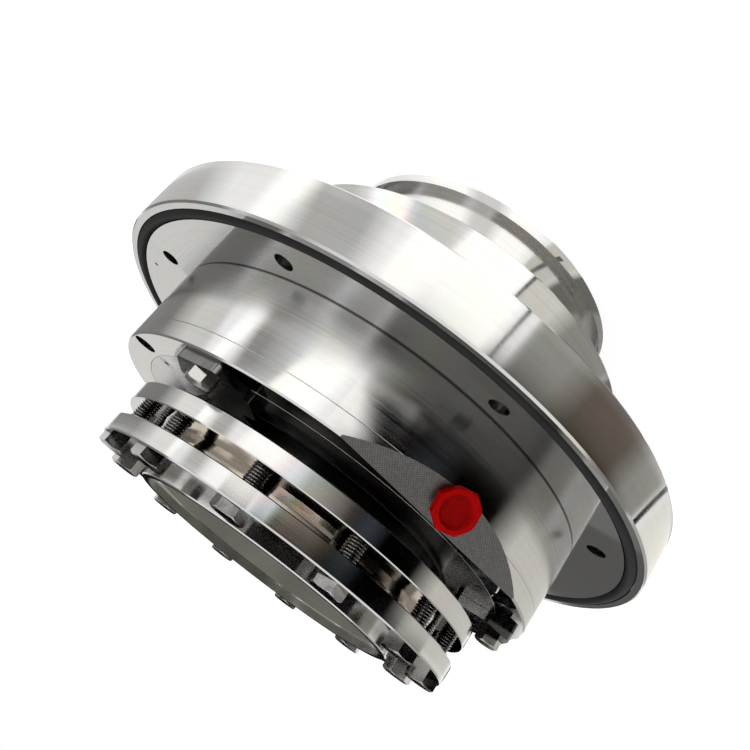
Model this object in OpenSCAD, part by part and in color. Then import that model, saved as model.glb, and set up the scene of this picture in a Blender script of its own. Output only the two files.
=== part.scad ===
// Cartridge shaft seal for a pump, standing on its wet end, axis along Z

/* [Shaft and sleeve] */
// radius of the shaft the seal slides on
shaft_r = 60; // [59.5:0.1:60.5]
// wall of the sleeve at the locking disc
sleeve_wall = 6.5; // [6.3:0.1:6.7]
// extra radius of the sleeve neck at the wet end
neck_step = 1.9; // [1.7:0.1:2.1]
// extra radius of the end collar over the neck
collar_step = 4.4; // [3.4:0.1:5.4]
// thickness of the end collar
collar_t = 6.7; // [5.7:0.1:8.7]
// length of bare neck between end collar and gland
neck_l = 28.3; // [24:0.1:34]
// how far the sleeve stands out past the front lock ring
sleeve_out = 4.1; // [3:0.1:6]

/* [Gland flange] */
// how far the flange reaches past the housing
flange_over = 31.6; // [29.6:0.5:37.6]
// thickness of the flange
flange_t = 24; // [22:0.5:28]
// how far the spigot behind the flange reaches past the sleeve
spigot_over = 28.5; // [28:0.1:29.5]
// length of the spigot behind the flange
spigot_l = 41; // [40:0.5:44]
// plain rim outside the face ring groove
rim_w = 3.6; // [3:0.1:5]
// cord diameter of the face ring
face_cord = 5.3; // [5:0.1:5.6]
// number of bolt holes in the flange
flange_holes = 8; // [6:1:12]
// radius of a flange bolt hole
flange_hole_r = 4.2; // [3.5:0.1:4.6]
// inset of the bolt circle from the flange edge
flange_hole_in = 21; // [19:0.5:23]
// turn of the bolt circle and the locking disc against the port
hole_turn = 7.5; // [6:0.5:9]

/* [Housing] */
// how far the polished housing reaches past the sleeve
housing_over = 41.9; // [41.3:0.1:43.5]
// length of the housing in front of the flange
housing_l = 39.5; // [38.5:0.5:42]
// inset of the slanted flat from the housing edge on the front face
flat_in = 11.3; // [10.5:0.1:12.5]
// angle of the slanted flat's normal over the radial direction
flat_tilt = 43; // [40:1:46]
// angle of the port over the radial direction
port_tilt = 22; // [18:1:26]
// radius of the port hole
port_r = 4.3; // [3.5:0.1:4.5]
// radius of the three blind holes in the front face
lift_r = 5.1; // [4:0.1:5.3]
// inset of the blind holes from the housing edge
lift_in = 6.1; // [5.9:0.1:6.5]
// depth of the blind holes
lift_d = 16; // [10:1:18]

/* [Transit plug] */
// radius of the plug cap over its corners
cap_r = 9.3; // [8:0.1:10]
// height of the plug cap
cap_h = 3.4; // [2.8:0.2:4.6]
// how far the plug cap stands out along the port
cap_stand = 1; // [0.6:0.1:2]

/* [Setting clips] */
// thickness of a clip
clip_t = 4.2; // [3.5:0.1:4.6]
// inset of a clip bolt from the housing edge
clip_in = 9.9; // [9.4:0.1:10.1]
// inset of the clip end from the housing edge
clip_edge = 3.4; // [2.4:0.1:3.9]
// half width of the clip tongue
tongue_w = 6; // [4:0.5:7]
// depth the tongue reaches into the sleeve groove
tongue_in = 1.5; // [1:0.1:1.8]

/* [Locking disc] */
// how far the two lock rings reach past the sleeve
lock_over = 24.3; // [23.9:0.1:25.5]
// thickness of a lock ring
lock_t = 8.5; // [8:0.1:9.5]
// gap between the two lock rings
lock_gap = 8.3; // [7:0.1:10]
// clear height between housing face and rear lock ring
lock_lift = 10.3; // [9.9:0.1:13]
// inset of the lock bolts from the edge of the lock rings
lock_in = 8.3; // [7.9:0.1:8.5]
// number of lock bolts
lock_bolts_n = 12; // [8:1:14]
// width over the flats of a lock bolt head
lock_flats = 13; // [12:0.5:14]
// height of a lock bolt head
lock_head = 4.4; // [4:0.1:5.5]

/* [Fits] */
// gap between curved faces that move past each other
run_gap = 0.4; // [0.3:0.05:0.5]
// gap between pieces that are pushed together
seat_gap = 0.05; // [0.03:0.01:0.08]
// gap under a clip and under its bolt head
clip_gap = 0.1; // [0.05:0.01:0.15]
// film gap between the two seal faces
film = 0.1; // [0.05:0.01:0.2]

/* [Hidden] */
$fn = 128;
e = 0.01;
sleeve_r = shaft_r + sleeve_wall;
neck_r = sleeve_r + neck_step;
collar_r = neck_r + collar_step;
spigot_r = sleeve_r + spigot_over;
housing_r = sleeve_r + housing_over;
flange_r = housing_r + flange_over;
lock_r = sleeve_r + lock_over;
lock_pitch = lock_r - lock_in;
clip_pivot = housing_r - clip_in;
clip_end = housing_r - clip_edge;
clip_flats = 10;
clip_head = 4.6;
clip_bolt_l = 16;
z_neck = collar_t;
z_spigot = z_neck + neck_l;
z_back = z_spigot + spigot_l;
z_face = z_back + flange_t;
z_front = z_face + housing_l;
register_d = 1.5;
z_seat = z_face - register_d;
pin_in = 2.8;
z_rear = z_front + lock_lift;
z_gap = z_rear + lock_t;
z_fore = z_gap + lock_gap;
z_lock = z_fore + lock_t;
z_end = z_lock + sleeve_out;
groove_o = flange_r - rim_w;
groove_w = face_cord + 0.2;
groove_i = groove_o - groove_w;
groove_d = face_cord - 1.1;
pattern_r = flange_r - flange_hole_in;
chamber_r = spigot_r - 5.5;
// share of the full radial room that the inner rings have
room = (chamber_r - sleeve_r) / 23;
ring_r = sleeve_r + 13.9 * room;
seat_z = z_face - 16;
web_r = sleeve_r + 5.3 * room;
web_z = z_face + 6;
web_t = 5;
quench_r = housing_r - 22.4;
quench_z = z_front - 8.5;
throat_r = sleeve_r + 9.5;
cover_r = housing_r - 13.5;
cover_t = 5;
cover_z = z_front - cover_t;
cover_bore = sleeve_r + 3.5;
cover_pitch = cover_r - 4.5;
csk_r = 3.7;
m4_r = 2;
bolt6_r = 3;
bolt8_r = 4;
clip_z = z_front + clip_gap;
groove_r = sleeve_r - 3.5;
tongue_r = sleeve_r - tongue_in;
clip_a_at = -30;
clip_b_at = -150;
clip_c_at = 90;
clip_at = [clip_a_at, clip_b_at, clip_c_at];
trio = [0, 120, 240];
flat_mid = housing_r - flat_in / 2;
flat_mid_z = z_front - flat_in / tan(flat_tilt) / 2;
port_low = 1.9;
cap_turn = -5;
dish_r = cap_r - 2.5;
dish_d = 1.3;
plug_neck = port_r + 2.2;
plug_foot = 4;
screw_at = [0, 60, 120, 180, 240, 300];
screw_r = housing_r - 6.4;
screw_head_r = 5;
screw_head_h = 6.4;
screw_sink = 7;
holder_r = chamber_r - 3.5;
holder_z = z_spigot + 11;
holder_plate = 9;
rot_z = holder_z + holder_plate;
rot_h = 9;
nose_h = 3;
rot_top = rot_z + rot_h + nose_h;
sta_z = rot_top + film;
cup_r = chamber_r - 2.5;
cup_z = sta_z + 4.9;
cup_h = seat_z - 2 - cup_z;
cup_top = cup_z + cup_h;
face_seat = cup_z + 5;
tail_top = z_face - 2;
pin_pitch = cup_r - 3.1;
face_r = sleeve_r + 15.5 * room;
drive_r = (neck_r + holder_r) / 2 - 1.2;
cone_t = 1.4;
apex_r = sleeve_r + 7.5;
taper_end = sleeve_r + 5;
head_turn = [12, 41, 27, 8, 50, 36, 21, 17.8, 54.7, 3, 22.3, 33.7, 29, 46];

steel = [0.78, 0.78, 0.77];
bright = [0.86, 0.86, 0.85];
black = [0.06, 0.06, 0.06];
dark = [0.25, 0.26, 0.28];

module turned(points) {
    rotate_extrude(convexity = 8) polygon(points);
}

module torus(r, cord) {
    rotate_extrude(convexity = 4) translate([r, 0]) circle(d = cord, $fn = 48);
}

module tube(ri, ro, h) {
    difference() {
        cylinder(r = ro, h = h);
        translate([0, 0, -1]) cylinder(r = ri, h = h + 2);
    }
}

// a hex head standing on z = 0
module hex_head(flats, h) {
    intersection() {
        cylinder(d = flats / cos(30), h = h, $fn = 6);
        turned([[0, 0], [flats / 2 + 2, 0], [flats / 2 + 2, h - 1.2], [flats / 2 - 0.2, h], [0, h]]);
    }
}

// places children on a circle of n
module around(n, r, start = 0) {
    for (i = [0 : n - 1]) rotate([0, 0, start + i * 360 / n]) translate([r, 0, 0]) children();
}

// places children at the given angles
module at_angles(list, r) {
    for (a = list) rotate([0, 0, a]) translate([r, 0, 0]) children();
}

// frame of the slanted flat: origin at its middle, z out of the housing
module flat_frame() {
    rotate([0, 0, -90]) translate([flat_mid, 0, flat_mid_z]) rotate([0, 90 - flat_tilt, 0]) children();
}

// frame of the port: origin on the flat, z out along the port
module port_frame() {
    flat_frame() translate([port_low, 0, 0]) rotate([0, flat_tilt - port_tilt, 0]) children();
}

// a block on one side of the slanted flat
module flat_side(up) {
    flat_frame() translate([-30, -80, up ? 0 : -40]) cube([60, 160, 40]);
}

// big flange plate with the face ring groove
module gland_flange() {
    color(bright) difference() {
        turned([
            [chamber_r, z_back], [flange_r - 1, z_back], [flange_r, z_back + 1],
            [flange_r, z_face - 0.8], [flange_r - 0.8, z_face],
            [groove_o, z_face], [groove_o, z_face - groove_d],
            [groove_i, z_face - groove_d], [groove_i, z_face],
            [housing_r + seat_gap, z_face], [housing_r + seat_gap, z_seat],
            [ring_r, z_seat], [ring_r, seat_z], [chamber_r, seat_z]]);
        around(flange_holes, pattern_r, hole_turn) {
            translate([0, 0, z_back - 1]) cylinder(r = flange_hole_r, h = flange_t + 2, $fn = 48);
        }
        at_angles(screw_at, screw_r) {
            translate([0, 0, z_back - 1]) cylinder(r = screw_head_r + 0.5, h = screw_sink + 1, $fn = 48);
            translate([0, 0, z_back]) cylinder(r = bolt6_r + 0.3, h = flange_t + 1, $fn = 48);
        }
        at_angles([30, 150, 270], pin_pitch) {
            translate([0, 0, seat_z - 1]) cylinder(r = m4_r + seat_gap, h = 9, $fn = 32);
        }
        rotate([0, 0, 17.5]) translate([pattern_r + 6, 0, z_face - 0.8]) cylinder(r = 1, h = 2, $fn = 24);
    }
}

// tube behind the flange that closes the seal chamber
module gland_spigot() {
    color(bright) turned([
        [chamber_r, z_spigot], [spigot_r - 1, z_spigot], [spigot_r, z_spigot + 1],
        [spigot_r, z_back], [chamber_r, z_back]]);
}

// rubber ring in the flange face
module flange_o_ring() {
    color(black) translate([0, 0, z_face - groove_d + face_cord / 2])
        torus((groove_o + groove_i) / 2, face_cord);
}

// socket screws from the back that hold the housing on the flange
module flange_screws() {
    color(steel) at_angles(screw_at, screw_r) {
        difference() {
            translate([0, 0, z_back + screw_sink - screw_head_h])
                cylinder(r = screw_head_r, h = screw_head_h, $fn = 48);
            translate([0, 0, z_back + screw_sink - screw_head_h - 1])
                cylinder(d = 5 / cos(30), h = 4, $fn = 6);
        }
        translate([0, 0, z_back + screw_sink - e]) cylinder(r = bolt6_r, h = flange_t + 8, $fn = 48);
    }
}

// polished front cylinder with the slanted flat and its port
module housing() {
    color(bright) difference() {
        turned([
            [ring_r, z_seat], [housing_r - 0.5, z_seat], [housing_r, z_seat + 0.5],
            [housing_r, z_front - 8.2], [housing_r - 0.15, z_front - 8.05], [housing_r, z_front - 7.9],
            [housing_r, z_front - 0.7], [housing_r - 0.7, z_front],
            [cover_r + seat_gap, z_front], [cover_r + seat_gap, cover_z], [throat_r, cover_z],
            [throat_r, quench_z], [quench_r, quench_z], [quench_r, web_z + web_t],
            [web_r, web_z + web_t], [web_r, web_z], [ring_r, web_z]]);
        translate([0, 0, z_seat - 1]) tube(quench_r + 1.5, quench_r + 5.7, 3.9);
        at_angles(trio, housing_r - lift_in) {
            translate([0, 0, z_front - lift_d]) cylinder(r = lift_r, h = lift_d + 1, $fn = 48);
        }
        at_angles(trio, cover_pitch) {
            translate([0, 0, cover_z - 12.5]) cylinder(r = m4_r + seat_gap, h = 13, $fn = 32);
        }
        at_angles(clip_at, clip_pivot) {
            translate([0, 0, z_front - clip_bolt_l - 2])
                cylinder(r = bolt6_r + seat_gap, h = clip_bolt_l + 3, $fn = 48);
        }
        at_angles(screw_at, screw_r) {
            translate([0, 0, z_seat - 1]) cylinder(r = bolt6_r + seat_gap, h = register_d + 17, $fn = 48);
        }
        flat_side(true);
        port_frame() {
            translate([0, 0, -26]) cylinder(r = port_r, h = 30, $fn = 48);
        }
    }
}

// rubber ring between flange and housing
module housing_o_ring() {
    color(black) translate([0, 0, z_seat + 1.4]) torus(quench_r + 3.6, 2.8);
}

// inner ring let flush into the housing face
module cover_ring() {
    color(bright) difference() {
        turned([
            [cover_bore, cover_z], [cover_r, cover_z], [cover_r, z_front - 0.2],
            [cover_r - 0.2, z_front], [cover_bore + 0.5, z_front], [cover_bore, z_front - 0.5]]);
        at_angles(trio, cover_pitch) {
            translate([0, 0, cover_z - 1]) cylinder(r = m4_r + 0.25, h = cover_t + 2, $fn = 32);
            translate([0, 0, z_front - 2.2])
                cylinder(r1 = m4_r + 0.1, r2 = csk_r + seat_gap, h = 2.2, $fn = 48);
        }
    }
}

// flush countersunk screws of the cover ring
module cover_screws() {
    color(steel) at_angles(trio, cover_pitch) {
        difference() {
            union() {
                translate([0, 0, z_front - 2.2]) cylinder(r1 = m4_r, r2 = csk_r, h = 2.2, $fn = 48);
                translate([0, 0, cover_z - 12]) cylinder(r = m4_r, h = 12 + cover_t - 2.2 + e, $fn = 32);
            }
            translate([0, 0, z_front - 1.6]) cylinder(d = 2.5 / cos(30), h = 2, $fn = 6);
        }
    }
}

// bush that throttles the gap round the sleeve
module throttle_bush() {
    color([0.35, 0.33, 0.3]) turned([
        [sleeve_r + run_gap, cover_z - 3], [cover_bore + 3, cover_z - 3], [cover_bore + 3, cover_z],
        [cover_bore - seat_gap, cover_z], [cover_bore - seat_gap, z_front - 0.6],
        [sleeve_r + run_gap, z_front - 0.6]]);
}

// octagon cap of the plug, its foot on z = 0, with a dished top
module plug_cap() {
    difference() {
        intersection() {
            rotate([0, 0, cap_turn]) cylinder(r = cap_r, h = cap_h, $fn = 8);
            turned([[0, 0], [cap_r + 1, 0], [cap_r + 1, cap_h - 1.2], [cap_r - 0.9, cap_h], [0, cap_h]]);
        }
        turned([
            [0, cap_h - dish_d], [dish_r - 1.2, cap_h - dish_d], [dish_r, cap_h],
            [dish_r, cap_h + 1], [0, cap_h + 1]]);
    }
}

// red plastic plug leaning with the port, its neck cut to the flat
module port_plug() {
    color([0.75, 0.03, 0.03]) {
        difference() {
            port_frame() {
                translate([0, 0, cap_stand]) plug_cap();
                translate([0, 0, -plug_foot])
                    cylinder(r = plug_neck, h = plug_foot + cap_stand + e, $fn = 64);
            }
            flat_side(false);
        }
        port_frame() {
            translate([0, 0, -9]) cylinder(r = port_r - seat_gap, h = 9 + cap_stand + e, $fn = 48);
        }
    }
}

function tangent(a, b, s) =
    let (d = [b[0] - a[0], b[1] - a[1]])
    let (turn = atan2(d[1], d[0]) + s * acos((a[2] - b[2]) / norm(d)))
    [[a[0] + a[2] * cos(turn), a[1] + a[2] * sin(turn)], [b[0] + b[2] * cos(turn), b[1] + b[2] * sin(turn)]];

// setting clip at its angle: round nose, wide wings and a tongue towards the sleeve
module clip(angle) {
    nose = [clip_end - 3.4, 8.9, 3.4];
    wing = [clip_end - 14.2, 17.6, 2];
    heel = [clip_end - 26.5, 11.5, 3];
    front = tangent(nose, wing, -1);
    rear = tangent(wing, heel, -1);
    half = [[clip_end, nose[1]], front[0], front[1], rear[0], rear[1], [heel[0] - heel[2], heel[1]]];
    mirrored = [for (i = [len(half) - 1 : -1 : 0]) [half[i][0], -half[i][1]]];
    color(steel) rotate([0, 0, angle]) translate([0, 0, clip_z]) difference() {
        union() {
            for (s = [-1, 1], c = [nose, wing, heel]) {
                translate([c[0], s * c[1], 0]) cylinder(r = c[2], h = clip_t, $fn = 64);
            }
            linear_extrude(clip_t) polygon(concat(half, mirrored));
            translate([sleeve_r - 6, -tongue_w, 0])
                cube([heel[0] - sleeve_r + 6, 2 * tongue_w, clip_t]);
        }
        translate([0, 0, -1]) cylinder(r = tongue_r, h = clip_t + 2);
        translate([clip_pivot, 0, -1]) cylinder(r = bolt6_r + run_gap, h = clip_t + 2, $fn = 48);
    }
}

module clip_a() {
    clip(clip_a_at);
}

module clip_b() {
    clip(clip_b_at);
}

module clip_c() {
    clip(clip_c_at);
}

// hex bolts the clips swing on
module clip_bolts() {
    color(steel) at_angles(clip_at, clip_pivot) {
        translate([0, 0, clip_z + clip_t + clip_gap]) hex_head(clip_flats, clip_head);
        translate([0, 0, z_front - clip_bolt_l])
            cylinder(r = bolt6_r, h = clip_bolt_l + 2 * clip_gap + clip_t + e, $fn = 48);
    }
}

// pins that keep the stationary face from turning
module stator_pins() {
    color(steel) at_angles([30, 150, 270], pin_pitch) {
        translate([0, 0, cup_top - pin_in]) cylinder(r = m4_r, h = seat_z - cup_top + pin_in + 7.6, $fn = 32);
    }
}

// sliding carrier of the stationary face
module stationary_holder() {
    color(steel) difference() {
        turned([
            [web_r, face_seat], [face_r + seat_gap, face_seat], [face_r + seat_gap, cup_z],
            [cup_r, cup_z], [cup_r, cup_top], [ring_r - run_gap, cup_top],
            [ring_r - run_gap, z_face - 12], [ring_r - 4, z_face - 12], [ring_r - 4, z_face - 7.4],
            [ring_r - run_gap, z_face - 7.4], [ring_r - run_gap, tail_top], [web_r, tail_top]]);
        at_angles([30, 150, 270], pin_pitch) {
            translate([0, 0, cup_top - pin_in - 2]) cylinder(r = m4_r + run_gap, h = pin_in + 3, $fn = 32);
        }
    }
}

// hard ring that rubs on the turning face
module stationary_face() {
    color(dark) turned([
        [sleeve_r + 6.5 * room, face_seat], [sleeve_r + 6.5 * room, sta_z + 3],
        [sleeve_r + 7.8 * room, sta_z + 3], [sleeve_r + 7.8 * room, sta_z],
        [sleeve_r + 13.8 * room, sta_z], [sleeve_r + 13.8 * room, sta_z + 3],
        [face_r, sta_z + 3], [face_r, face_seat]]);
}

// ring round the sliding carrier
module stator_o_ring() {
    color(black) translate([0, 0, z_face - 9.7]) torus(ring_r - 2.1, 3.6);
}

// two conical ring springs, rim to rim
module cone_springs() {
    lo = web_r + 0.3;
    hi = ring_r - 0.6;
    mid = (tail_top + web_z) / 2;
    color(steel) turned([
        [lo, tail_top], [lo + 1.2, tail_top], [hi, mid - cone_t], [hi, mid], [lo, tail_top + cone_t]]);
    color(steel) turned([
        [lo, web_z], [lo + 1.2, web_z], [hi, mid + cone_t], [hi, mid], [lo, web_z - cone_t]]);
}

// sleeve that slides on the shaft, with the end collar
module shaft_sleeve() {
    color(bright) turned([
        [shaft_r + 1, 0], [collar_r - 2.3, 0], [collar_r, 2.3], [collar_r, z_neck],
        [neck_r, z_neck], [neck_r, holder_z - 2.6], [neck_r - 1.5, holder_z - 2.6],
        [neck_r - 1.5, holder_z - 0.1], [neck_r, holder_z - 0.1],
        [neck_r, rot_top], [sleeve_r, rot_top + neck_step],
        [sleeve_r, z_front - 0.3], [groove_r, z_front - 0.3], [groove_r, z_front + clip_t + 0.5],
        [sleeve_r, z_front + clip_t + 0.5], [sleeve_r, z_end - 0.5], [sleeve_r - 0.5, z_end],
        [shaft_r + 3, z_end], [shaft_r + 3, z_end - 4], [shaft_r, z_end - 4],
        [shaft_r, z_neck + 12.1], [shaft_r + 3.6, z_neck + 12.1], [shaft_r + 3.6, z_neck + 7.4],
        [shaft_r, z_neck + 7.4], [shaft_r, 1]]);
}

// ring in the sleeve bore against the shaft
module sleeve_o_ring() {
    color(black) translate([0, 0, z_neck + 9.75]) torus(shaft_r + 1.82, 3.5);
}

// spring ring behind the carrier of the turning face
module retaining_ring() {
    color(steel) difference() {
        turned([
            [neck_r - 1.5 + seat_gap, holder_z - 2.5], [neck_r + 3, holder_z - 2.5],
            [neck_r + 3, holder_z - 0.1], [neck_r - 1.5 + seat_gap, holder_z - 0.1]]);
        translate([neck_r - 5, -3, holder_z - 4]) cube([12, 6, 6]);
    }
}

// carrier of the turning face on the sleeve
module rotary_holder() {
    color(steel) difference() {
        turned([
            [neck_r + seat_gap, holder_z], [holder_r - 0.8, holder_z], [holder_r, holder_z + 0.8],
            [holder_r, rot_z + rot_h - 1], [holder_r - 2.6, rot_z + rot_h - 1],
            [holder_r - 2.6, rot_z], [neck_r + seat_gap, rot_z]]);
        around(4, 0, 45) {
            translate([neck_r - 2, 0, holder_z + 4.5]) rotate([0, 90, 0])
                cylinder(r = bolt6_r + seat_gap, h = holder_r - neck_r + 6, $fn = 48);
        }
        around(4, drive_r) {
            translate([0, 0, rot_z - 4]) cylinder(r = m4_r + seat_gap, h = 5, $fn = 32);
        }
    }
}

// set screws that fix the carrier on the sleeve
module holder_set_screws() {
    color(dark) around(4, 0, 45) {
        translate([neck_r + seat_gap, 0, holder_z + 4.5]) rotate([0, 90, 0]) difference() {
            cylinder(r = bolt6_r, h = 14, $fn = 48);
            translate([0, 0, 11]) cylinder(d = 3 / cos(30), h = 4, $fn = 6);
        }
    }
}

// pins that drive the turning face
module drive_pins() {
    color(steel) around(4, drive_r) {
        translate([0, 0, rot_z - 3.9]) cylinder(r = m4_r, h = 8, $fn = 32);
    }
}

// hard ring that turns with the sleeve
module rotary_face() {
    color(dark) difference() {
        turned([
            [neck_r + 3.8, rot_z], [holder_r - 2.9, rot_z], [holder_r - 2.9, rot_z + 2],
            [holder_r - 6, rot_z + 2], [holder_r - 6, rot_z + 6], [holder_r - 2.9, rot_z + 6],
            [holder_r - 2.9, rot_z + rot_h], [sleeve_r + 13.3 * room, rot_z + rot_h],
            [sleeve_r + 13.3 * room, rot_top], [sleeve_r + 8.3 * room, rot_top],
            [sleeve_r + 8.3 * room, rot_z + rot_h], [neck_r + 3.8, rot_z + rot_h]]);
        around(4, drive_r) {
            translate([0, 0, rot_z - 1]) cylinder(r = m4_r + 0.3, h = 5.5, $fn = 32);
        }
    }
}

// ring between the turning face and its carrier
module rotary_o_ring() {
    color(black) translate([0, 0, rot_z + 4]) torus(holder_r - 4.36, 3.2);
}

// ring of the locking disc next to the housing, with the threads
module lock_ring_rear() {
    color(bright) difference() {
        turned([
            [taper_end + seat_gap, z_rear], [lock_r - 0.6, z_rear], [lock_r, z_rear + 0.6],
            [lock_r, z_gap - 0.4], [lock_r - 0.4, z_gap],
            [taper_end + seat_gap + 2.5 * lock_t / (lock_t + lock_gap / 2), z_gap]]);
        around(lock_bolts_n, lock_pitch, hole_turn) {
            translate([0, 0, z_rear - 1]) cylinder(r = bolt8_r + seat_gap, h = lock_t + 2, $fn = 48);
        }
    }
}

// ring of the locking disc under the bolt heads
module lock_ring_front() {
    color(bright) difference() {
        turned([
            [taper_end + seat_gap + 2.5 * lock_t / (lock_t + lock_gap / 2), z_fore],
            [lock_r - 0.4, z_fore], [lock_r, z_fore + 0.4], [lock_r, z_lock - 0.6],
            [lock_r - 0.6, z_lock], [taper_end + seat_gap, z_lock]]);
        around(lock_bolts_n, lock_pitch, hole_turn) {
            translate([0, 0, z_fore - 1]) cylinder(r = bolt8_r + 0.3, h = lock_t + 2, $fn = 48);
        }
    }
}

// split ring with a double taper that grips the sleeve
module lock_ring_inner() {
    color([0.72, 0.68, 0.6]) difference() {
        turned([
            [sleeve_r + seat_gap, z_rear], [taper_end, z_rear], [apex_r, (z_gap + z_fore) / 2],
            [taper_end, z_lock], [sleeve_r + seat_gap, z_lock]]);
        rotate([0, 0, 142.5]) translate([sleeve_r - 3, -1.5, z_rear - 1]) cube([16, 3, z_lock - z_rear + 2]);
    }
}

// hex bolts that pull the two lock rings together
module lock_bolts() {
    color(steel) for (i = [0 : lock_bolts_n - 1]) {
        rotate([0, 0, hole_turn + i * 360 / lock_bolts_n]) translate([lock_pitch, 0, 0]) {
            translate([0, 0, z_lock]) rotate([0, 0, head_turn[i]]) hex_head(lock_flats, lock_head);
            translate([0, 0, z_rear + 0.3]) cylinder(r = bolt8_r, h = z_lock - z_rear - 0.3 + e, $fn = 48);
        }
    }
}

gland_flange();
gland_spigot();
flange_o_ring();
flange_screws();
housing();
housing_o_ring();
cover_ring();
cover_screws();
throttle_bush();
port_plug();
clip_a();
clip_b();
clip_c();
clip_bolts();
stator_pins();
stationary_holder();
stationary_face();
stator_o_ring();
cone_springs();
shaft_sleeve();
sleeve_o_ring();
retaining_ring();
rotary_holder();
holder_set_screws();
drive_pins();
rotary_face();
rotary_o_ring();
lock_ring_rear();
lock_ring_front();
lock_ring_inner();
lock_bolts();
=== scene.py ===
"""Looks, light and camera for the cartridge shaft seal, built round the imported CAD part."""
import math

import bmesh
import bpy
from mathutils import Matrix, Quaternion, Vector


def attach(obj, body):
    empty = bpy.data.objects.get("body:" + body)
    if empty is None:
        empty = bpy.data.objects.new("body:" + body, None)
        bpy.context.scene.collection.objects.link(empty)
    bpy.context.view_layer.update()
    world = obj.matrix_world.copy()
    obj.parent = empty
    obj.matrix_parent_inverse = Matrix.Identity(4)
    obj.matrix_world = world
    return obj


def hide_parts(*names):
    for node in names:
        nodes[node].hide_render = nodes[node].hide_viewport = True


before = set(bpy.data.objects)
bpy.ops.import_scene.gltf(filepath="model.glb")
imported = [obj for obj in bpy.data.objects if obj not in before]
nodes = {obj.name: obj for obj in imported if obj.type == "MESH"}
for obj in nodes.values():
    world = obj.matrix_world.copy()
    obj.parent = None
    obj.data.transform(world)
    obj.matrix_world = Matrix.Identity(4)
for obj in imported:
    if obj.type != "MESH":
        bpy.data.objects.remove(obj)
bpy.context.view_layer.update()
scene = bpy.context.scene

# Sizes taken over from the CAD part, in millimetres

MM = 0.001
BORE_R = 60.0                      # sleeve bore
HOUSING_R = 108.4                  # outside of the housing
FACE_Z = 100.0                     # front face of the flange
FRONT_Z = 139.5                    # front face of the housing
Z_REAR, Z_GAP = 149.8, 158.3       # rear lock ring, from and to
Z_FORE, Z_LOCK = 166.6, 175.1      # front lock ring, from and to
FLAT_IN = 11.3                     # how far the slanted flat cuts into the front edge
FLAT_TILT = math.radians(43)
PORT_LOW = 1.9                     # port below the middle of the flat
PORT_TILT = math.radians(22)
DISH_R = 6.8                       # sunk top of the plug
BOLTS = 12
BOLT_RING_R = 82.5
BOLT_START = 7.5                   # angle of the first bolt in degrees
HEAD_FLATS, HEAD_H = 13.0, 4.4
SHANK_R, PITCH = 4.0, 1.25

FLAT_MID = Vector((0.0, FLAT_IN / 2 - HOUSING_R, FRONT_Z - FLAT_IN / math.tan(FLAT_TILT) / 2)) * MM
FLAT_OUT = Vector((0.0, -math.cos(FLAT_TILT), math.sin(FLAT_TILT)))
FLAT_UP = Vector((0.0, math.sin(FLAT_TILT), math.cos(FLAT_TILT)))
PORT_MID = FLAT_MID - FLAT_UP * PORT_LOW * MM
PORT_OUT = Vector((0.0, -math.cos(PORT_TILT), math.sin(PORT_TILT)))


# Node helpers

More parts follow.
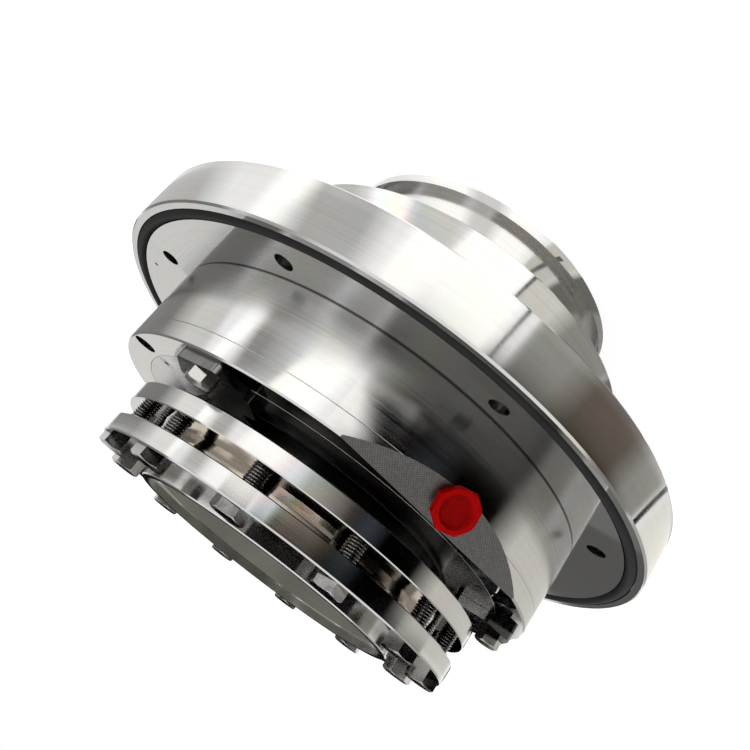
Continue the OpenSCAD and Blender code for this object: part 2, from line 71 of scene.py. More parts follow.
class Graph:
    """A small builder for one material's node tree around a single Principled shader."""

    def __init__(self, name):
        self.mat = bpy.data.materials.new(name)
        self.mat.use_nodes = True
        self.tree = self.mat.node_tree
        self.tree.nodes.clear()
        out = self.add("ShaderNodeOutputMaterial")
        self.bsdf = self.add("ShaderNodeBsdfPrincipled")
        self.tree.links.new(self.bsdf.outputs[0], out.inputs["Surface"])
        self.coords = self.add("ShaderNodeTexCoord").outputs["Object"]

    def add(self, kind, **props):
        n = self.tree.nodes.new(kind)
        for k, v in props.items():
            setattr(n, k, v)
        return n

    def put(self, socket, value):
        """Links a socket, or sets a plain value on it."""
        if isinstance(value, bpy.types.NodeSocket):
            self.tree.links.new(value, socket)
        else:
            socket.default_value = value

    def shader(self, name, value):
        self.put(self.bsdf.inputs[name], value)

    def math(self, op, a, b=0.0):
        n = self.add("ShaderNodeMath", operation=op)
        self.put(n.inputs[0], a)
        self.put(n.inputs[1], b)
        return n.outputs[0]

    def vec(self, op, a, b):
        n = self.add("ShaderNodeVectorMath", operation=op)
        self.put(n.inputs[0], a)
        self.put(n.inputs[1], b)
        return n.outputs["Value"] if op in ("DOT_PRODUCT", "LENGTH") else n.outputs[0]

    def xyz(self, v):
        n = self.add("ShaderNodeSeparateXYZ")
        self.put(n.inputs[0], v)
        return n.outputs

    def join(self, x, y, z):
        n = self.add("ShaderNodeCombineXYZ")
        for i, v in enumerate((x, y, z)):
            self.put(n.inputs[i], v)
        return n.outputs[0]

    def scaled(self, *pairs):
        """Three values, each times its own number, as one vector."""
        return self.join(*(self.math("MULTIPLY", v, k) for v, k in pairs))

    def noise(self, vector, scale, detail=2.0, rough=0.5):
        n = self.add("ShaderNodeTexNoise")
        self.put(n.inputs["Vector"], vector)
        n.inputs["Scale"].default_value = scale
        n.inputs["Detail"].default_value = detail
        n.inputs["Roughness"].default_value = rough
        return n.outputs["Fac"]

    def span(self, value, lo, hi, to_lo, to_hi):
        n = self.add("ShaderNodeMapRange")
        self.put(n.inputs["Value"], value)
        for k, v in (("From Min", lo), ("From Max", hi), ("To Min", to_lo), ("To Max", to_hi)):
            self.put(n.inputs[k], v)
        return n.outputs["Result"]

    def spread(self, noise, to_lo, to_hi):
        """The middle part of a noise, where most of it lies, stretched between two values."""
        return self.span(noise, 0.3, 0.7, to_lo, to_hi)

    def mix(self, fac, a, b, blend="MIX"):
        n = self.add("ShaderNodeMix", data_type="RGBA", blend_type=blend)
        self.put(n.inputs["Factor"], fac)
        self.put(n.inputs[6], a)
        self.put(n.inputs[7], b)
        return n.outputs[2]

    def toned(self, colour, level):
        """A colour times a varying level."""
        return self.mix(1.0, colour, self.join(level, level, level), "MULTIPLY")

    def blend(self, fac, a, b):
        n = self.add("ShaderNodeMix", data_type="FLOAT")
        self.put(n.inputs[0], fac)
        self.put(n.inputs[2], a)
        self.put(n.inputs[3], b)
        return n.outputs[0]

    def ramp(self, fac, stops):
        n = self.add("ShaderNodeValToRGB")
        els = n.color_ramp.elements
        els[0].position, els[0].color = stops[0]
        els[1].position, els[1].color = stops[-1]
        for p, c in stops[1:-1]:
            els.new(p).color = c
        self.put(n.inputs[0], fac)
        return n.outputs["Color"]

    def bump(self, height, strength, distance):
        n = self.add("ShaderNodeBump")
        n.inputs["Strength"].default_value = strength
        n.inputs["Distance"].default_value = distance
        self.put(n.inputs["Height"], height)
        return n.outputs["Normal"]

    def round_coords(self):
        """Radius, height and angle about the seal axis."""
        x, y, z = self.xyz(self.coords)
        r = self.math("SQRT", self.math("ADD", self.math("MULTIPLY", x, x), self.math("MULTIPLY", y, y)))
        return r, z, self.math("ARCTAN2", y, x)

    def flat_face(self):
        """1 on flat faces across the seal axis, 0 elsewhere."""
        across = self.xyz(self.add("ShaderNodeNewGeometry").outputs["Normal"])[2]
        return self.span(self.math("ABSOLUTE", across), 0.90, 0.98, 0.0, 1.0)


def grey(v, warm=0.0):
    return (v * (1 + warm), v, v * (1 - warm), 1.0)


# Materials

RAINBOW = [
    (0.0, (1.0, 0.90, 0.92, 1)),
    (0.25, (1.0, 0.98, 0.86, 1)),
    (0.5, (0.88, 1.0, 0.93, 1)),
    (0.75, (0.88, 0.93, 1.0, 1)),
    (1.0, (1.0, 0.90, 0.92, 1)),
]
SHEEN = 0.5                         # strongest painted rainbow sheen outside a sheen_patch
LINE_HEIGHT = 0.00008              # depth of the cutting marks in metres
PAINTED_SHADE = grey(0.02)                  # painted shade for the seam at the flange and the gap behind the lock ring
FOOT = 24.0                        # height of the housing's duller foot above the flange
FOOT_ROUGH = 0.13
HATCH = 5200.0                     # milling marks of the flat, radians per metre
SHADE_SHARE = 0.92                      # how strongly the painted shade covers the steel in that gap and in the thread roots


def turned_steel(name, tone, rough, aniso, warm=0.012, lines=1.0, sheen_patch=None, face=1.0, extra=None):
    """Lathe turned stainless steel: rings of fine cutting marks, faint smears and a painted rainbow sheen
    for the light that the cutting marks split. sheen_patch is the angle and half width of a stronger patch
    of that painted sheen, face the share of the roughness left on the flat faces, which are cut more finely,
    and extra a function that adds a piece's own marks."""
    g = Graph(name)
    r, z, ang = g.round_coords()
    rings = g.join(r, z, 0.0)
    fine = g.noise(rings, 1100.0)
    wide = g.noise(rings, 420.0, rough=0.55)
    smear = g.noise(g.scaled((ang, 0.9), (r, 14.0), (z, 22.0)), 2.2, 3.0)
    streak = g.noise(g.scaled((ang, 26.0), (r, 4.0), (z, 9.0)), 1.0)
    shade = g.math("ADD", g.spread(fine, -0.03, 0.03), g.spread(wide, -0.03, 0.03))
    shade = g.math("ADD", shade, g.spread(streak, -0.02, 0.02))
    base = g.toned(grey(tone, warm), g.math("ADD", 1.0, shade))
    # Painted sheen: rainbow colours mixed into the base stand in for the light split by the cutting marks.
    hue = g.math("FRACT", g.math("ADD", g.math("MULTIPLY", ang, 4.3), g.math("MULTIPLY", smear, 2.6)))
    rainbow_sheen = g.mix(1.0, base, g.ramp(hue, RAINBOW), "MULTIPLY")
    where = g.span(streak, 0.45, 0.7, 0.0, SHEEN)
    if sheen_patch:
        middle, half_width = (math.radians(a) for a in sheen_patch)
        away = g.math("ABSOLUTE", g.math("SUBTRACT", ang, middle))
        where = g.math("ADD", where, g.span(away, 0.0, half_width, 1.0, 0.0))
    base = g.mix(g.math("MINIMUM", where, 1.0), base, rainbow_sheen)
    uneven = g.math("ADD", g.span(smear, 0.3, 0.75, -0.03, 0.05), g.spread(fine, -0.015, 0.015))
    roughness = g.math("ADD", rough, uneven)
    if face != 1.0:
        roughness = g.math("MULTIPLY", roughness, g.blend(g.flat_face(), 1.0, face))
    height = g.math("ADD", g.math("MULTIPLY", fine, 0.6), g.math("MULTIPLY", wide, 0.4))
    g.shader("Metallic", 1.0)
    if extra:
        base, roughness, height = extra(g, base, roughness, height)
    g.shader("Base Color", base)
    g.shader("Roughness", roughness)
    g.shader("Anisotropic", aniso)
    g.shader("Anisotropic Rotation", 0.25)
    g.shader("Tangent", g.add("ShaderNodeTangent", direction_type="RADIAL", axis="Z").outputs[0])
    g.shader("Normal", g.bump(height, 0.005 * lines, LINE_HEIGHT))
    return g.mat


def milled_flat(g, base, roughness, height):
    """Adds the milled slanted flat, the duller foot and painted shade along the seam at the flange to the
    housing.
    """
    rel = g.vec("SUBTRACT", g.coords, FLAT_MID)
    off = g.math("ABSOLUTE", g.vec("DOT_PRODUCT", rel, FLAT_OUT))
    on_flat = g.math("LESS_THAN", off, 0.00004)
    u = g.xyz(rel)[0]
    v = g.vec("DOT_PRODUCT", rel, FLAT_UP)
    grain = g.noise(g.coords, 900.0)
    waver = g.math("MULTIPLY", grain, 2.0)
    cuts = []
    for op in ("ADD", "SUBTRACT"):
        across = g.math("MULTIPLY", g.math(op, u, v), HATCH)
        cuts.append(g.math("SINE", g.math("ADD", across, waver)))
    hatch = g.span(g.math("ADD", *cuts), -2.0, 2.0, 0.0, 1.0)
    tone = g.span(hatch, 0.1, 0.9, 0.17, 0.30)
    base = g.mix(on_flat, base, g.scaled((tone, 1.02), (tone, 1.0), (tone, 0.98)))
    z = g.xyz(g.coords)[2]
    # Painted shade: a thin dark line just above the flange face stands in for the shade where the housing
    # meets the flange.
    seam = g.span(z, (FACE_Z + 0.35) * MM, (FACE_Z + 0.7) * MM, 0.8, 0.0)
    base = g.mix(seam, base, PAINTED_SHADE)
    foot = g.span(z, (FACE_Z + FOOT / 2) * MM, (FACE_Z + FOOT) * MM, FOOT_ROUGH, 0.0)
    roughness = g.math("ADD", roughness, foot)
    roughness = g.blend(on_flat, roughness, g.spread(grain, 0.48, 0.6))
    height = g.blend(on_flat, height, g.math("MULTIPLY", hatch, 3.0))
    return base, roughness, height


def dull_bore_and_gap_shade(g, base, roughness, height):
    """Makes the sleeve's honed bore dull and olive grey beside its polished outside, and paints shade on the
    narrow gap between the housing and the locking disc."""
    r, z, _ = g.round_coords()
    # Painted shade: the sleeve between the housing and the rear lock ring is painted near black for the
    # shade in that gap.
    past_front = g.math("GREATER_THAN", z, (FRONT_Z - 2.0) * MM)
    gap_shade = g.math("MULTIPLY", past_front, g.math("LESS_THAN", z, Z_REAR * MM))
    base = g.mix(g.math("MULTIPLY", gap_shade, SHADE_SHARE), base, PAINTED_SHADE)
    roughness = g.blend(gap_shade, roughness, 0.3)
    inside = g.math("LESS_THAN", r, (BORE_R + 0.6) * MM)
    film = g.noise(g.coords, 40.0, 3.0)
    tone = g.spread(film, 0.30, 0.40)
    base = g.mix(inside, base, g.scaled((tone, 1.03), (tone, 1.0), (tone, 0.87)))
    roughness = g.blend(inside, roughness, g.spread(film, 0.34, 0.44))
    g.shader("Metallic", g.blend(inside, 1.0, 0.55))
    return base, roughness, height


def bolt_steel(name, tone, rough, scale=None, threaded=False):
    """Forged and rolled bolt steel with small dents and a satin skin. scale gives a darker tone for the flat
    faces across the seal axis, and threaded paints shade into the roots of the piece's threads."""
    g = Graph(name)
    cloud = g.noise(g.coords, 180.0, 4.0, 0.6)
    speck = g.noise(g.coords, 1500.0)
    level = g.math("ADD", g.spread(cloud, 0.86, 1.06), g.span(speck, 0.35, 0.65, -0.04, 0.04))
    base = g.toned(grey(tone, 0.02), level)
    if scale:
        base = g.mix(g.flat_face(), base, g.toned(grey(scale, -0.02), level))
    if threaded:
        # Painted shade: the thread roots are darkened by their depth.
        root = g.add("ShaderNodeAttribute", attribute_name="root").outputs["Fac"]
        base = g.mix(g.math("MULTIPLY", root, SHADE_SHARE), base, grey(0.015))
    g.shader("Base Color", base)
    g.shader("Roughness", g.math("ADD", rough, g.spread(cloud, -0.06, 0.08)))
    g.shader("Metallic", 1.0)
    g.shader("Normal", g.bump(g.math("ADD", cloud, g.math("MULTIPLY", speck, 0.3)), 0.025, 0.0002))
    return g.mat


def rubber(name):
    """Black moulded rubber with a dusty bloom."""
    g = Graph(name)
    bloom = g.noise(g.coords, 60.0, 4.0)
    pore = g.noise(g.coords, 1800.0)
    tone = g.math("ADD", g.spread(bloom, 0.006, 0.014), g.span(pore, 0.4, 0.7, 0.0, 0.004))
    g.shader("Base Color", g.scaled((tone, 1.0), (tone, 1.0), (tone, 1.06)))
    g.shader("Roughness", g.spread(bloom, 0.5, 0.66))
    g.shader("Specular IOR Level", 0.18)
    g.shader("Normal", g.bump(pore, 0.12, 0.0001))
    return g.mat


def red_plastic(name):
    """Red moulded cap with painted shade: the sunk top is painted darker red than the rim."""
    g = Graph(name)
    rel = g.vec("SUBTRACT", g.coords, PORT_MID)
    out = g.vec("DOT_PRODUCT", rel, PORT_OUT)
    along = g.vec("SUBTRACT", rel, g.scaled((out, 0.0), (out, PORT_OUT.y), (out, PORT_OUT.z)))
    from_axis = g.vec("LENGTH", along, (0, 0, 0))
    cloud = g.noise(g.coords, 260.0, 3.0)
    grain = g.noise(g.coords, 2200.0)
    # Painted shade: the sunk top is darker red than the rim, standing in for the shade in the dish.
    sunk = g.span(from_axis, (DISH_R - 1.6) * MM, (DISH_R + 0.2) * MM, 1.0, 0.0)
    red = g.blend(sunk, g.spread(cloud, 0.26, 0.36), g.spread(cloud, 0.17, 0.24))
    red = g.math("ADD", red, g.span(grain, 0.35, 0.65, -0.02, 0.02))
    g.shader("Base Color", g.join(red, 0.001, 0.001))
    g.shader("Roughness", g.spread(cloud, 0.42, 0.56))
    g.shader("Specular IOR Level", 0.03)
    g.shader("Normal", g.bump(g.math("ADD", cloud, g.math("MULTIPLY", grain, 0.4)), 0.25, 0.0003))
    return g.mat


def plain_coat(name, colour, rough, metal, scale, spread, bump):
    """A clouded plain surface for the inner pieces."""
    g = Graph(name)
    cloud = g.noise(g.coords, scale, 3.0)
    g.shader("Base Color", g.toned((*colour, 1.0), g.spread(cloud, 1 - spread, 1 + spread)))
    g.shader("Roughness", g.spread(cloud, rough - 0.06, rough + 0.08))
    g.shader("Metallic", metal)
    g.shader("Normal", g.bump(cloud, bump, 0.0002))
    return g.mat


def dress(mat, *names):
    """Gives CAD nodes their material."""
    for n in names:
        slots = nodes[n].data.materials
        slots.clear()
        slots.append(mat)


dress(turned_steel("flange_steel", 0.66, 0.11, 0.8, lines=1.5, face=0.4), "gland_flange")
# The spigot and the lock rings get a stronger patch of painted rainbow sheen at the given angles.
dress(turned_steel("spigot_steel", 0.66, 0.11, 0.8, lines=1.5, sheen_patch=(-42, 14)), "gland_spigot")
dress(turned_steel("housing_steel", 0.66, 0.10, 0.88, lines=0.5, face=0.4, extra=milled_flat), "housing")
dress(turned_steel("cover_steel", 0.62, 0.15, 0.6), "cover_ring")
dress(turned_steel("sleeve_steel", 0.70, 0.15, 0.6, lines=1.5, extra=dull_bore_and_gap_shade), "shaft_sleeve")
dress(turned_steel("lock_ring_steel", 0.66, 0.11, 0.7, sheen_patch=(-63, 9), face=0.4),
      "lock_ring_rear", "lock_ring_front")
dress(turned_steel("inner_ring_steel", 0.58, 0.12, 0.4, warm=0.14), "lock_ring_inner")
dress(turned_steel("carrier_steel", 0.62, 0.30, 0.5), "stationary_holder", "rotary_holder")
dress(bolt_steel("clip_steel", 0.22, 0.12, scale=0.04), "clip_a", "clip_b", "clip_c")
dress(bolt_steel("screw_steel", 0.50, 0.16),
      "clip_bolts", "cover_screws", "flange_screws", "holder_set_screws", "stator_pins", "drive_pins")
dress(plain_coat("spring_steel", (0.5, 0.5, 0.52), 0.35, 1.0, 140.0, 0.08, 0.05),
      "cone_springs", "retaining_ring")
dress(rubber("black_rubber"),
      "flange_o_ring", "housing_o_ring", "stator_o_ring", "sleeve_o_ring", "rotary_o_ring")
dress(red_plastic("red_plastic"), "port_plug")
dress(plain_coat("face_ceramic", (0.10, 0.105, 0.11), 0.22, 0.0, 320.0, 0.12, 0.02),
      "stationary_face", "rotary_face")
dress(plain_coat("bush_plastic", (0.26, 0.24, 0.21), 0.55, 0.0, 240.0, 0.10, 0.06), "throttle_bush")


# Lock bolts with rolled threads

HEAD_TURN = (12, 41, 27, 8, 50, 36, 21, 17.8, 54.7, 3, 22.3, 33.7)    # turn of each head in degrees
HEAD_SIDES = 48                    # points round a head
SHANK_SIDES = 32                   # points round a shank
TURN_ROWS = 8                      # rows of points in one turn of the thread
THREAD_DEPTH = 0.70
CREST, FLANK = 0.86, 0.72          # shares of half a pitch: where the crest starts, and the flank's length
CHAMFER = 0.6
CORNER_SLOPE = 1.2 / 2.2           # fall of a head's top towards its corners
DISH_SHARE, DISH_DEPTH = 0.62, 0.12


def loft(bm, rings):
    """Skins rows of points, given as equal lists of (x, y, z), and closes both ends."""
    made = [[bm.verts.new(p) for p in ring] for ring in rings]
    n = len(made[0])
    for a, b in zip(made, made[1:]):
        for i in range(n):
            bm.faces.new((a[i], a[(i + 1) % n], b[(i + 1) % n], b[i]))
    bm.faces.new(list(reversed(made[0])))
    bm.faces.new(made[-1])
    return made


def circle(r, z, n, turn=0.0):
    angles = [turn + 2 * math.pi * i / n for i in range(n)]
    return [(r * math.cos(a), r * math.sin(a), z) for a in angles]


def hex_ring(turn, z_of):
    """Points round a hexagon; z_of gives a point's height from its distance to the axis."""
    ring = []
    for i in range(HEAD_SIDES):
        a = 2 * math.pi * i / HEAD_SIDES
        side = (a + math.pi / 6) % (math.pi / 3) - math.pi / 6
        rho = HEAD_FLATS / 2 / math.cos(math.pi / 6 - abs(side))
        ring.append((rho * math.cos(a + turn), rho * math.sin(a + turn), z_of(rho)))
    return ring


def thread_ring(z):
    """One row of the thread, a right-handed helix cut into the shank."""
    ring = []
    for i in range(SHANK_SIDES):
        a = 2 * math.pi * i / SHANK_SIDES
        phase = (z / PITCH - i / SHANK_SIDES) % 1.0
        wave = 1 - abs(2 * phase - 1)
        r = SHANK_R - THREAD_DEPTH * max(0.0, min(1.0, (CREST - wave) / FLANK))
        ring.append((r * math.cos(a), r * math.sin(a), z))
    return ring


def bolt(bm, place, turn, z0, z1, thread_lo, thread_hi):
    """One hex bolt along z: head on z1, shank down to z0, thread between the given heights. The vertex value
    root says how deep in the thread a point lies."""
    new = bmesh.new()
    root = new.verts.layers.float.new("root")
    flat_r = HEAD_FLATS / 2 - 0.2
    top_z = z1 + HEAD_H
    rim = hex_ring(turn, lambda rho: z1)
    top = hex_ring(turn, lambda rho: top_z - max(0.0, rho - flat_r) * CORNER_SLOPE)
    disc = circle(flat_r, top_z, HEAD_SIDES, turn)
    dish = circle(flat_r * DISH_SHARE, top_z - DISH_DEPTH, HEAD_SIDES, turn)
    loft(new, [rim, top, disc, dish])
    rows = [circle(SHANK_R - CHAMFER, z0, SHANK_SIDES)]
    rows += [circle(SHANK_R, z, SHANK_SIDES) for z in (z0 + CHAMFER, thread_lo)]
    steps = round((thread_hi - thread_lo) / PITCH * TURN_ROWS)
    rows += [thread_ring(thread_lo + (thread_hi - thread_lo) * k / steps) for k in range(1, steps)]
    rows += [circle(SHANK_R, z, SHANK_SIDES) for z in (thread_hi, z1 + 0.01)]
    for ring in loft(new, rows):
        for v in ring:
            if thread_lo < v.co.z < thread_hi:
                v[root] = (SHANK_R - math.hypot(v.co.x, v.co.y)) / THREAD_DEPTH
    new.transform(place @ Matrix.Scale(MM, 4))
    mesh = bpy.data.meshes.new("bolt_part")
    new.to_mesh(mesh)
    new.free()
    bm.from_mesh(mesh)
    bpy.data.meshes.remove(mesh)


bm = bmesh.new()
bm.verts.layers.float.new("root")
for i in range(BOLTS):
    about = Matrix.Rotation(math.radians(BOLT_START + 360 / BOLTS * i), 4, "Z")
    spot = about @ Matrix.Translation((BOLT_RING_R * MM, 0, 0))
    bolt(bm, spot, math.radians(HEAD_TURN[i]), Z_REAR + 0.3, Z_LOCK, Z_GAP - 1.0, Z_FORE + 1.0)
bmesh.ops.recalc_face_normals(bm, faces=bm.faces)
bolt_mesh = bpy.data.meshes.new("threaded_lock_bolts")
bm.to_mesh(bolt_mesh)
bm.free()
bolt_mesh.materials.append(bolt_steel("lock_bolt_steel", 0.52, 0.14, threaded=True))
for p in bolt_mesh.polygons:
    p.use_smooth = True
bolt_mesh.set_sharp_from_angle(angle=math.radians(32.0))
bolts = bpy.data.objects.new("threaded_lock_bolts", bolt_mesh)
scene.collection.objects.link(bolts)
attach(bolts, "rotor")
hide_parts("lock_bolts")


# Stage: floor and world

WHITE = (1, 1, 1, 1)
FLOOR_COLOUR = (0.3, 0.3, 0.3, 1)
FLOOR_GLOW = 0.88                  # brings the floor up to white where it is seen
FLOOR_HALF = 30.0
FLOOR_Z = -0.0002
WORLD_LIGHT = 0.55                 # strength of the world as light on the part


def node(tree, kind, **values):
    """Adds a node and sets its sockets by name."""
    n = tree.nodes.new(kind)
    for k, v in values.items():
        n.inputs[k].default_value = v
    return n


def seen_rays(tree):
    """1 for rays from the camera, from gloss and through glass, 0 for the light that falls on things."""
    path = tree.nodes.new("ShaderNodeLightPath")
    seen = path.outputs["Is Camera Ray"]
    for kind in ("Is Glossy Ray", "Is Transmission Ray"):
        most = tree.nodes.new("ShaderNodeMath")
        most.operation = "MAXIMUM"
        tree.links.new(seen, most.inputs[0])
        tree.links.new(path.outputs[kind], most.inputs[1])
        seen = most.outputs[0]
    return seen


def mix_shaders(tree, share, one, two, surface):
    """Mixes two shaders by a share and ends the tree with them."""
    both = tree.nodes.new("ShaderNodeMixShader")
    for i, socket in enumerate((share, one.outputs[0], two.outputs[0])):
        tree.links.new(socket, both.inputs[i])
    tree.links.new(both.outputs[0], surface)


def stage_material(name, build):
    m = bpy.data.materials.new(name)
    m.use_nodes = True
    m.node_tree.nodes.clear()
    out = m.node_tree.nodes.new("ShaderNodeOutputMaterial")
    build(m.node_tree, out.inputs["Surface"])
    return m


def floor_nodes(tree, surface):
    """A pale floor that keeps the part's shadow and is white to the camera and to metal."""
    lit = node(tree, "ShaderNodeBsdfDiffuse", Color=FLOOR_COLOUR)
    glow = node(tree, "ShaderNodeEmission", Color=WHITE)
    share = tree.nodes.new("ShaderNodeMath")
    share.operation = "MULTIPLY"
    share.inputs[1].default_value = FLOOR_GLOW
    tree.links.new(seen_rays(tree), share.inputs[0])
    tree.links.new(share.outputs[0], glow.inputs["Strength"])
    both = tree.nodes.new("ShaderNodeAddShader")
    tree.links.new(lit.outputs[0], both.inputs[0])
    tree.links.new(glow.outputs[0], both.inputs[1])
    tree.links.new(both.outputs[0], surface)


def add_mesh(name, verts, faces, mat):
    mesh = bpy.data.meshes.new(name)
    mesh.from_pydata(verts, [], faces)
    mesh.materials.append(mat)
    o = bpy.data.objects.new(name, mesh)
    scene.collection.objects.link(o)
    return o


floor_corners = [(FLOOR_HALF * x, FLOOR_HALF * y, FLOOR_Z) for x, y in ((-1, -1), (1, -1), (1, 1), (-1, 1))]
add_mesh("floor", floor_corners, [(0, 1, 2, 3)], stage_material("floor_white", floor_nodes))

world = bpy.data.worlds.new("studio")
scene.world = world
world.use_nodes = True
sky = world.node_tree
sky.nodes.clear()
sky_out = sky.nodes.new("ShaderNodeOutputWorld")
sky_light = node(sky, "ShaderNodeBackground", Color=WHITE, Strength=WORLD_LIGHT)
sky_seen = node(sky, "ShaderNodeBackground", Color=WHITE, Strength=1.0)
mix_shaders(sky, seen_rays(sky), sky_light, sky_seen, sky_out.inputs["Surface"])


# Cards: pale and dark sheets round the set that only reflections see, as the studio round the real seal.
# Angles are in degrees round the seal axis, radii and heights in metres, and a level of 1 is white.

PALE = (1.0, 0.99, 0.96)
WARM = (1.0, 0.98, 0.90)
BROWN = (1.0, 0.82, 0.64)
BLUE = (0.85, 0.97, 1.15)
HARD = (0.0, 0.0)                  # edges that don't fade
CARD_STEP = 0.0001                 # each card lies this much above the one before
CARD_CELLS = 40
WALL_R = 1.4
WALL_TOP = 1.6
NECK = (0.06, 0.125)               # rings of floor, each mirrored by another part of the seal
SPIGOT = (0.125, 0.25)
RIM = (0.25, 0.37)
FAR_IN, RING_IN, FAR_OUT = 0.37, 0.68, 1.7
cards = []


def cover_at(w, first, last):
    """How far a card covers at share w of its width, when its two edges fade over the given shares."""
    a = w / first if first > 0 else 1.0
    b = (1 - w) / last if last > 0 else 1.0
    return min(1.0, a, b)


def card(name, place, level, tint, sides, ends):
    """A soft edged card. place(u, v) gives its points over the unit square; sides and ends hold the shares
    over which its edges fade along u and along v."""
    def build(tree, surface):
        cover = tree.nodes.new("ShaderNodeAttribute")
        cover.attribute_name = "cover"
        clear = tree.nodes.new("ShaderNodeBsdfTransparent")
        glow = node(tree, "ShaderNodeEmission", Color=(*[level * c for c in tint], 1))
        mix_shaders(tree, cover.outputs["Fac"], clear, glow, surface)

    n = CARD_CELLS
    lift = CARD_STEP * (len(cards) + 1)
    verts, faces, covers = [], [], []
    for j in range(n + 1):
        for i in range(n + 1):
            u, v = i / n, j / n
            x, y, z = place(u, v)
            verts.append((x, y, z + lift))
            covers.append(cover_at(u, *sides) * cover_at(v, *ends))
    for j in range(n):
        for i in range(n):
            a = j * (n + 1) + i
            faces.append((a, a + 1, a + n + 2, a + n + 1))
    o = add_mesh(name, verts, faces, stage_material(name, build))
    o.data.attributes.new("cover", "FLOAT", "POINT").data.foreach_set("value", covers)
    for ray in ("camera", "diffuse", "shadow", "transmission", "volume_scatter"):
        setattr(o, "visible_" + ray, False)
    cards.append(o)


def floor_card(name, a0, a1, r0, r1, level, tint=PALE, sides=(0.1, 0.1), ends=(0.06, 0.06)):
    """A card lying on the floor between two angles and two radii."""
    def place(u, v):
        a = math.radians(a0 + (a1 - a0) * u)
        r = r0 + (r1 - r0) * v
        return r * math.cos(a), r * math.sin(a), 0.0
    card(name, place, level, tint, sides, ends)


def wall_card(name, a0, a1, z0, z1, level, tint=PALE, sides=(0.1, 0.1)):
    """An upright card round the set between two angles and two heights."""
    def place(u, v):
        a = math.radians(a0 + (a1 - a0) * u)
        return WALL_R * math.cos(a), WALL_R * math.sin(a), z0 + (z1 - z0) * v
    card(name, place, level, tint, sides, HARD)


def table_card(name, corners, level, sides=(0.1, 0.1), ends=HARD):
    """A four cornered card lying on the floor."""
    a, b, c, d = (Vector((*q, 0.0)) for q in corners)

    def place(u, v):
        return tuple(a.lerp(b, u).lerp(d.lerp(c, u), v))
    card(name, place, level, PALE, sides, ends)


# Floor close to the part, mirrored by the neck
floor_card("neck_right", -190, -96, *NECK, 0.32, WARM)
floor_card("neck_dark", -119, -95, *NECK, 0.18, WARM, (0.15, 0.15))
floor_card("neck_front", -99, -80, *NECK, 0.70, WARM, (0.3, 0.05))
floor_card("neck_white", -82, -10, *NECK, 1.40, PALE, (0.1, 0.3))
floor_card("neck_grey", -63, -42, *NECK, 0.85, PALE, (0.3, 0.3))
# Next ring of floor, mirrored by the spigot
floor_card("spigot_right", -200, -132, *SPIGOT, 0.18, WARM)
floor_card("spigot_front", -138, -83, *SPIGOT, 0.35, WARM, (0.08, 0.03))
floor_card("spigot_pale", -107, -83, *SPIGOT, 0.85, WARM, (0.4, 0.03))
floor_card("spigot_grey", -57, -29, *SPIGOT, 0.85, PALE, (0.3, 0.2))
floor_card("spigot_white", -31, -9, *SPIGOT, 1.60, PALE, (0.15, 0.25))
floor_card("spigot_left", -12, 60, *SPIGOT, 0.70, PALE, (0.15, 0.1))
# Next ring of floor, mirrored by the flange rim
floor_card("rim_right", -240, -147, *RIM, 1.0, WARM)
floor_card("rim_front", -149, -84, *RIM, 0.36, WARM, (0.03, 0.03))
floor_card("rim_dark", -136, -98, *RIM, 0.15, BROWN, (0.25, 0.25))
floor_card("rim_line", -151.4, -148.8, *RIM, 0.0, PALE, HARD, HARD)
floor_card("rim_grey", -44, -14, *RIM, 0.56, PALE, (0.25, 0.25))
floor_card("rim_left", 8, 84, *RIM, 0.60, PALE, (0.2, 0.1))
# Wide floor, mirrored by the housing and the lock rings
floor_card("far_right", -215, -128, FAR_IN, FAR_OUT, 0.72, WARM, (0.1, 0.02), (0.02, 0.0))
floor_card("far_black", -149, -54, FAR_IN, FAR_OUT, 0.0, PALE, (0.2, 0.04), HARD)
floor_card("far_edge", -146, -55, 0.33, 0.375, 0.0, PALE, (0.15, 0.04), HARD)
floor_card("far_blue", -108, -84, 0.44, FAR_OUT, 0.055, BLUE, (0.4, 0.4), (0.1, 0.0))
floor_card("far_brown", -92, -54, 0.66, FAR_OUT, 0.16, BROWN, (0.4, 0.2), (0.05, 0.0))
floor_card("ring_ramp", -86, -53, 0.66, 1.08, 0.80, PALE, (0.9, 0.0), (0.05, 0.2))
floor_card("ring_step", -61, -53, 0.66, 1.08, 1.15, PALE, (0.6, 0.0), (0.05, 0.2))
floor_card("house_grey", -46, -4, FAR_IN, RING_IN, 0.36, PALE, (0.76, 0.12), (0.02, 0.05))
floor_card("ring_grey", -15, 1, RING_IN, FAR_OUT, 0.56, PALE, (0.3, 0.3), (0.05, 0.0))
floor_card("far_left", 8, 84, FAR_IN, FAR_OUT, 0.82, PALE, (0.05, 0.05), (0.02, 0.0))
floor_card("ring_left", 9, 30, RING_IN, FAR_OUT, 1.05, PALE, (0.1, 0.3), (0.05, 0.0))
floor_card("far_left_dark", 26, 84, FAR_IN, FAR_OUT, 0.25, PALE, (0.32, 0.12), (0.02, 0.0))
floor_card("far_back", 92, 145, 0.60, FAR_OUT, 0.10)
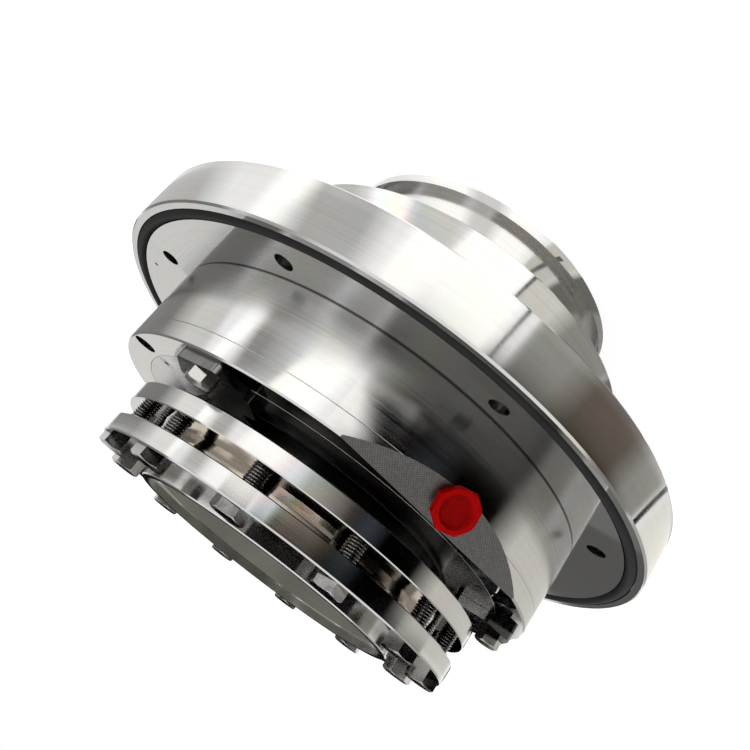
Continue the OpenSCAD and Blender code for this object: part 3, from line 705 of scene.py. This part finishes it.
# Upright cards that the faces mirror
wall_card("wall_black", -146, -44, 0.0, 0.96, 0.0, PALE, (0.04, 0.04))
wall_card("wall_black_low", -44, -26, 0.0, 0.56, 0.0, PALE, (0.0, 0.1))
wall_card("wall_front_high", -146, -44, 0.96, WALL_TOP, 0.9, WARM, (0.04, 0.04))
wall_card("wall_front_right", -168, -143, 0.0, WALL_TOP, 0.28, WARM)
wall_card("wall_left", -22, 24, 0.15, WALL_TOP, 0.50)
wall_card("wall_far_left", 24, 82, 0.15, WALL_TOP, 0.24)
wall_card("wall_back_pale", 74, 90, 0.53, WALL_TOP, 0.80)
wall_card("wall_back_near", 74, 96, 0.05, 0.53, 0.78, PALE, (0.1, 0.03))
wall_card("wall_back_low", 95.5, 135, 0.1, 0.53, 0.0, PALE, (0.03, 0.05))
wall_card("wall_back_grey", 88, 106, 0.53, WALL_TOP, 0.25, PALE, (0.25, 0.1))
wall_card("wall_back_high", 103, 126, 0.53, WALL_TOP, 0.0, PALE, (0.12, 0.1))
wall_card("wall_back_right", 126, 146, 0.63, WALL_TOP, 0.19)
wall_card("wall_back_shade", 132, 146, 0.44, 0.63, 0.12, PALE, (0.2, 0.1))
wall_card("wall_right", 146, 194, 0.15, WALL_TOP, 0.5)
# Light boxes lying in front and to the left, with the dark gap beside the near one
near_box = [(0.013, -0.125), (0.075, -0.11), (0.262, -0.25), (0.064, -0.365)]
near_gap = [(0.003, -0.07), (0.006, -0.07), (0.064, -0.365), (0.058, -0.365)]
far_box = [(0.215, -0.31), (0.33, -0.225), (1.5, -0.36), (1.0, -1.05)]
wedge = [(0.222, -0.325), (0.24, -0.33), (0.40, -0.53), (0.13, -0.585)]
left_box = [(0.22, -0.10), (0.22, -0.035), (1.7, 0.38), (1.7, 0.19)]
table_card("box_near", near_box, 1.6, ends=(0.05, 0.05))
table_card("box_gap", near_gap, 0.15, HARD)
table_card("box_far", far_box, 1.6, (0.25, 0.12))
table_card("box_wedge", wedge, 1.35, (0.5, 0.0), (0.0, 0.1))
table_card("box_left", left_box, 1.6, (0.3, 0.3))
wall_card("box_high", -44, -27, 0.56, WALL_TOP, 0.8, PALE, (0.2, 0.2))


# Lamps

LAMP_AIM = Vector((0, 0, 0.1))


def lamp(name, place, size, power):
    """A round soft lamp that lights the part and isn't mirrored by it."""
    disc = bpy.data.lights.new(name, "AREA")
    disc.shape = "DISK"
    disc.size = size
    disc.energy = power
    o = bpy.data.objects.new(name, disc)
    scene.collection.objects.link(o)
    o.location = place
    o.rotation_mode = "QUATERNION"
    o.rotation_quaternion = (LAMP_AIM - Vector(place)).to_track_quat("-Z", "Y")
    o.visible_camera = False
    o.visible_glossy = False


lamp("key", (1.0, -1.2, 1.6), 1.2, 16.0)
lamp("fill", (-1.4, -0.8, 1.2), 1.4, 9.0)
lamp("top", (0.1, 0.2, 2.0), 1.8, 12.0)


# Camera as in the photograph, which is turned so that the locking disc points down

CAMERA_AT = Vector((0.13880, -0.32859, 0.20854))
CAMERA_AIM = Vector((0.011449, 0.004379, 0.074481))
CAMERA_ROLL = math.radians(-142.3835)

lens = bpy.data.cameras.new("camera")
lens.sensor_width = 36.0
lens.lens = 37.466
lens.clip_start = 0.01
lens.clip_end = 100.0
camera = bpy.data.objects.new("camera", lens)
scene.collection.objects.link(camera)
level_view = (CAMERA_AIM - CAMERA_AT).to_track_quat("-Z", "Y")
camera.rotation_mode = "QUATERNION"
camera.rotation_quaternion = level_view @ Quaternion((0, 0, 1), CAMERA_ROLL)
camera.location = CAMERA_AT
scene.camera = camera
scene.view_settings.view_transform = "Standard"
